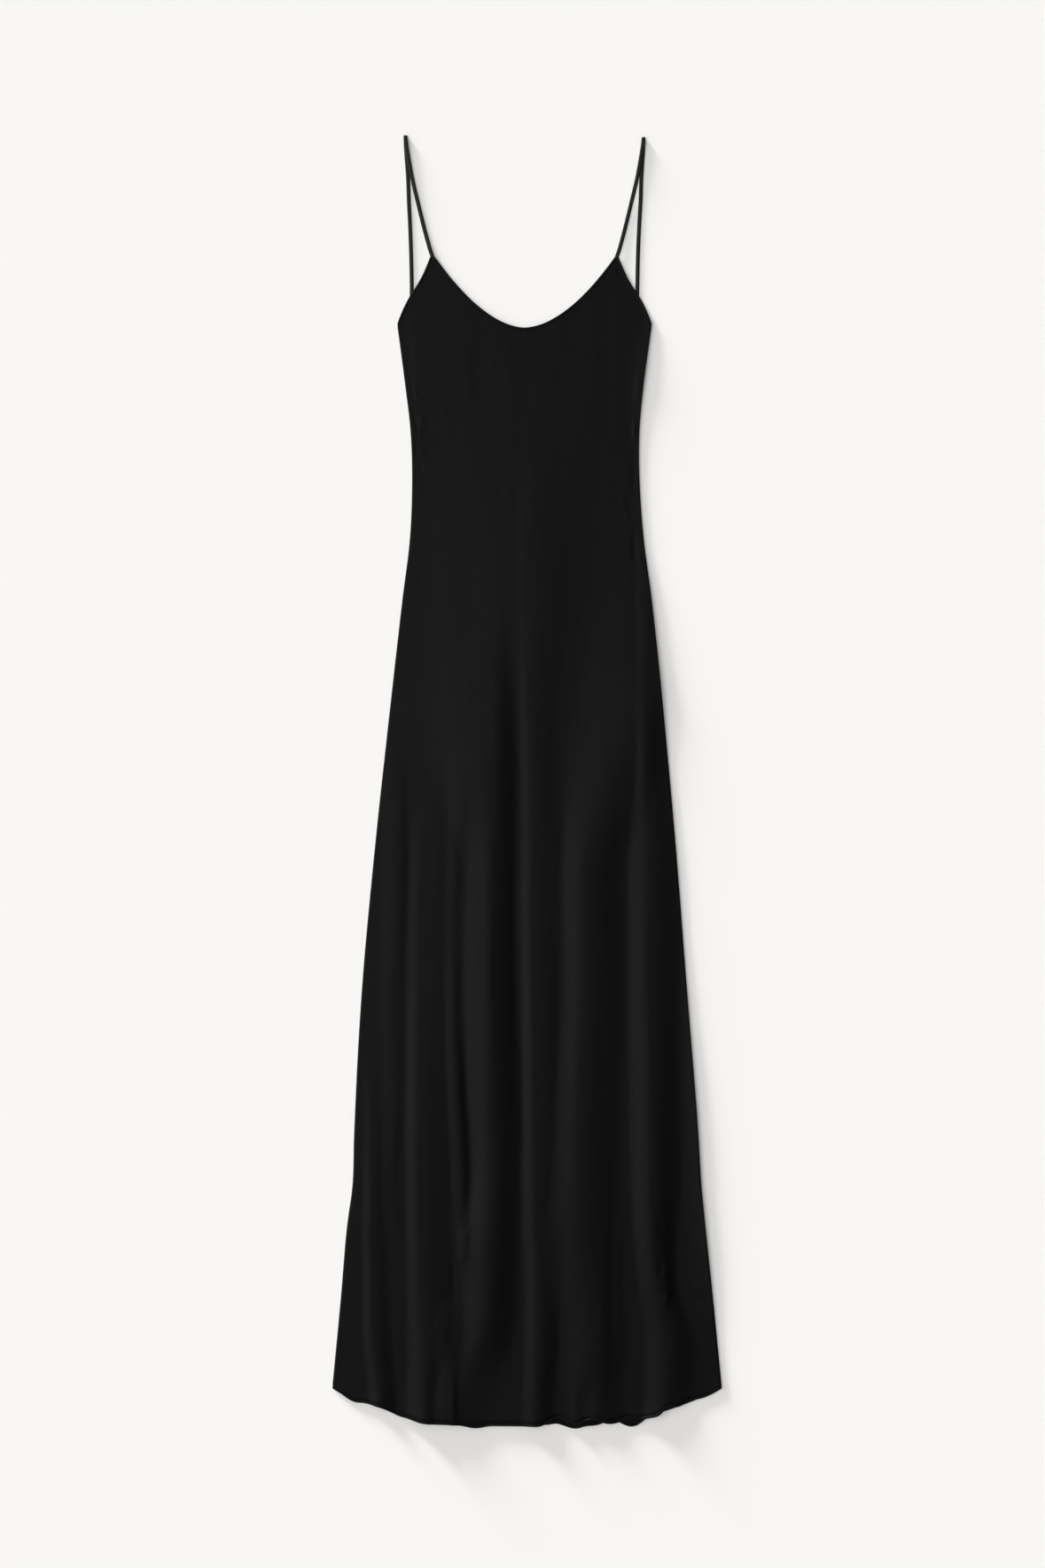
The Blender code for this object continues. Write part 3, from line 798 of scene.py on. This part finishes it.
def node_at(tree, kind, vector, **values):
    """A node that reads a vector; an underscore in a value's name stands for a space."""
    node = tree.nodes.new(kind)
    for socket, value in values.items():
        plug(tree, node.inputs[socket.replace("_", " ")], value)
    tree.links.new(vector, node.inputs["Vector"])
    return node


def satin_group():
    """Satin weave, cut on the bias: fine floats at 45 degrees, with uneven yarn and tone."""
    group, given, result = new_group(
        "satin weave",
        [("Thread", "NodeSocketFloat", THREAD), ("Tone", "NodeSocketFloat", TONE_MIX)],
        [("Height", "NodeSocketFloat"), ("Tone", "NodeSocketFloat"), ("Rough", "NodeSocketFloat")],
    )
    cloth = group.nodes.new("ShaderNodeUVMap")
    cloth.uv_map = "cloth"
    turned = node_at(
        group, "ShaderNodeMapping", cloth.outputs["UV"], Rotation=(0, 0, math.radians(BIAS))
    ).outputs["Vector"]
    drawn_out = node_at(
        group, "ShaderNodeMapping", turned, Scale=(1, YARN_STRETCH, 1)
    ).outputs["Vector"]
    floats = node_at(
        group, "ShaderNodeTexWave", turned,
        Scale=maths(group, "DIVIDE", BAND_PITCH, given.outputs["Thread"]),
        Distortion=FLOAT_WANDER, Detail=FLOAT_DETAIL, Detail_Scale=FLOAT_DETAIL_SCALE,
    ).outputs["Fac"]
    yarn = node_at(
        group, "ShaderNodeTexNoise", drawn_out, Scale=YARN_SCALE, Detail=YARN_DETAIL
    ).outputs["Fac"]
    cloud = node_at(
        group, "ShaderNodeTexNoise", cloth.outputs["UV"], Scale=CLOUD_SCALE, Detail=CLOUD_DETAIL
    ).outputs["Fac"]
    height = maths(group, "MULTIPLY_ADD", yarn, YARN_RELIEF, floats)
    tone = maths(group, "MULTIPLY", maths(group, "ADD", yarn, cloud), given.outputs["Tone"])
    rough = map_range(group, cloud, (CLOUD_LOW, -GLOSS_SWING), (CLOUD_HIGH, GLOSS_SWING))
    group.links.new(height, result.inputs["Height"])
    group.links.new(tone, result.inputs["Tone"])
    group.links.new(rough, result.inputs["Rough"])
    return group


def satin(group, finish):
    material = bpy.data.materials.new(finish.name)
    material.use_nodes = True
    tree = material.node_tree
    surface = tree.nodes["Principled BSDF"]
    surface.inputs["Specular IOR Level"].default_value = finish.specular
    surface.inputs["Metallic"].default_value = 0
    weave = tree.nodes.new("ShaderNodeGroup")
    weave.node_tree = group
    weave.inputs["Thread"].default_value = THREAD
    weave.inputs["Tone"].default_value = TONE_MIX
    colour = tree.nodes.new("ShaderNodeMix")
    colour.data_type = "RGBA"
    colour.inputs["A"].default_value = (*finish.dark, 1)
    colour.inputs["B"].default_value = (*finish.light, 1)
    tree.links.new(weave.outputs["Tone"], colour.inputs["Factor"])
    tree.links.new(colour.outputs["Result"], surface.inputs["Base Color"])
    rough = maths(tree, "ADD", weave.outputs["Rough"], finish.roughness)
    tree.links.new(rough, surface.inputs["Roughness"])
    bump = tree.nodes.new("ShaderNodeBump")
    bump.inputs["Distance"].default_value = WEAVE_RELIEF
    bump.inputs["Strength"].default_value = 1.0
    tree.links.new(weave.outputs["Height"], bump.inputs["Height"])
    tree.links.new(bump.outputs["Normal"], surface.inputs["Normal"])
    return material


def floor_material():
    material = bpy.data.materials.new("pale floor")
    material.use_nodes = True
    surface = material.node_tree.nodes["Principled BSDF"]
    surface.inputs["Base Color"].default_value = (*FLOOR_SHADE, 1)
    surface.inputs["Roughness"].default_value = 1.0
    surface.inputs["Specular IOR Level"].default_value = 0.0
    return material


# ---------------------------------------------------------------- stage
VIEW_LENGTH = 1822.1       # what the camera sees, along the dress
VIEW_CENTRE = (-5.2, -2.6)
CAMERA_HEIGHT = 2800.0
CAMERA_FAR = 50            # metres
SKY_COLOUR = (1.0, 0.995, 0.985)
SKY_LEVEL = 0.588          # light from straight above, without the glow
SKY_LEFT = 0.865           # how much brighter the light is towards the left
SKY_DARKEST = 0.03         # and how dark it may get towards the right
SKY_LOW = 0.45             # share of it that is left at the horizon
SKY_LOW_REACH = 0.6        # all of it is there from this height up, straight above being 1
GLOW = 2.5                 # how much a band overhead, from left to right, adds to it
GLOW_CENTRE = 0.035        # how far towards the neck the band is from straight above
GLOW_REACH = 0.26          # and how far it reaches from there
SUN_HEIGHT = 5.0           # degrees above the floor
SUN_TURN = 127             # degrees round from +X, so it comes from the left and the neck
SUN_STRENGTH = 9.0
SUN_SOFTNESS = 9           # degrees across


def make_camera():
    data = bpy.data.cameras.new("camera")
    camera = bpy.data.objects.new("camera", data)
    bpy.context.scene.collection.objects.link(camera)
    camera.location = Vector((*VIEW_CENTRE, CAMERA_HEIGHT)) * MM
    data.lens = data.sensor_width * CAMERA_HEIGHT / VIEW_LENGTH
    data.clip_end = CAMERA_FAR
    bpy.context.scene.camera = camera


def make_floor():
    deselect_all()
    bpy.ops.mesh.primitive_plane_add(size=FLOOR_SIZE)
    floor = bpy.context.object
    floor.name = "floor"
    floor.data.materials.append(floor_material())


def make_sky():
    """Soft light all round: brighter to the left, with a glow overhead, dimmer low down."""
    world = bpy.data.worlds.new("studio")
    bpy.context.scene.world = world
    world.use_nodes = True
    tree = world.node_tree
    background = tree.nodes["Background"]
    background.inputs["Color"].default_value = (*SKY_COLOUR, 1)
    direction = tree.nodes.new("ShaderNodeTexCoord").outputs["Generated"]
    parts = tree.nodes.new("ShaderNodeSeparateXYZ")
    tree.links.new(direction, parts.inputs[0])
    slope = maths(tree, "MULTIPLY", parts.outputs["X"], -SKY_LEFT)
    level = maths(tree, "MAXIMUM", maths(tree, "ADD", slope, SKY_LEVEL), SKY_DARKEST)
    apart = maths(tree, "ABSOLUTE", maths(tree, "SUBTRACT", parts.outputs["Y"], GLOW_CENTRE))
    glow = map_range(tree, apart, (0, 1 + GLOW), (GLOW_REACH, 1), "SMOOTHSTEP")
    low = map_range(tree, parts.outputs["Z"], (0, SKY_LOW), (SKY_LOW_REACH, 1), "SMOOTHSTEP")
    strength = maths(tree, "MULTIPLY", maths(tree, "MULTIPLY", level, glow), low)
    tree.links.new(strength, background.inputs["Strength"])


def make_sun():
    data = bpy.data.lights.new("key", "SUN")
    data.energy = SUN_STRENGTH
    data.angle = math.radians(SUN_SOFTNESS)
    key = bpy.data.objects.new("key", data)
    bpy.context.scene.collection.objects.link(key)
    key.rotation_euler = (0, math.radians(90 - SUN_HEIGHT), math.radians(SUN_TURN))


# ---------------------------------------------------------------- the dress
def dress(piece, slot, *nodes):
    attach(piece, "root")
    if nodes:
        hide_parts(*nodes)
    return piece


def roll_centre(run):
    """Middle of a rolled edge: at the shell's middle, but never below the surface."""
    centre = run.copy()
    centre[:, 2] = np.maximum(run[:, 2] + SATIN / 2, ROLL_THICKNESS / 2 + ROLL_CLEARANCE)
    return centre


def roll(name, edge, inner, cloth, slot):
    """A rolled edge along a panel's edge, given points on the edge and just inside it."""
    run = edge_run(edge, inner, ROLL_WIDTH / 2 - OVERHANG)
    piece = tube(name, list(roll_centre(run)), ROLL_WIDTH, ROLL_THICKNESS, ROLL_SIDES, cloth)
    return dress(piece, slot)


def edge_rolls(name, place, counts, cloth, slot):
    """Rolls at a panel's armholes, neckline and hem, overlapping a little at the points."""
    stops = np.cumsum((0,) + counts)
    runs = {
        "armhole_left": slice(stops[0], stops[1] + 2),
        "neckline": slice(stops[1] + 1, stops[4]),
        "armhole_right": slice(stops[4] - 1, stops[5] + 1),
    }
    rolls = [
        roll(name + "_" + part + "_roll", place[-1][columns], place[-3][columns], cloth, slot)
        for part, columns in runs.items()
    ]
    rolls.append(roll(name + "_hem_roll", place[0], place[2], cloth, slot))
    return rolls


def side_seam(side, edge, inward, cloth):
    """The closed seam between the front's edge and the back below it."""
    low = back_lie(edge[:, 0] + inward * SEAM_SAMPLE, edge[:, 1])
    high = edge[:, 2] + SATIN
    middle = edge.copy()
    middle[:, 0] += inward * (SEAM_ROLL_WIDTH / 2 - OVERHANG)
    middle[:, 2] = (low + high) / 2
    name = "side_seam_" + side
    seam = tube(name, list(middle), SEAM_ROLL_WIDTH, high - low, ROLL_SIDES, cloth, upright=True)
    return dress(seam, "satin_front")


def make_straps(cloth):
    for side, strap in STRAPS.items():
        name = "strap_" + side + "_satin"
        route = strap_route(strap)
        piece = tube(name, route, STRAP_WIDTH, STRAP_THICKNESS, STRAP_SIDES, cloth, upright=True)
        dress(piece, "strap_cloth", "strap_" + side)


def make_dress():
    group = satin_group()
    front_satin = satin(group, FRONT_FINISH)
    back_satin = satin(group, BACK_FINISH)
    strap_satin = satin(group, STRAP_FINISH)

    front_place = panel_places(
        FRONT_POINTS, FRONT_COLUMNS, FRONT_ROWS, front_top, front_hem, front_lie
    )
    back_place = panel_places(BACK_POINTS, BACK_COLUMNS, BACK_ROWS, back_top, back_hem, back_lie)
    front = dress(panel("front_satin", front_place, front_satin), "satin_front", "front_panel")
    back = dress(panel("back_satin", back_place, back_satin), "satin_back", "back_panel")
    make_straps(strap_satin)

    trims = {
        "front": edge_rolls("front", front_place, FRONT_COLUMNS, front_satin, "satin_front"),
        "back": edge_rolls("back", back_place, BACK_COLUMNS, back_satin, "satin_back"),
    }
    trims["front"].append(side_seam("left", front_place[:, 0], 1, front_satin))
    trims["front"].append(side_seam("right", front_place[:, -1], -1, front_satin))


make_camera()
make_floor()
make_sky()
make_sun()
bpy.context.scene.view_settings.view_transform = "Standard"
make_dress()
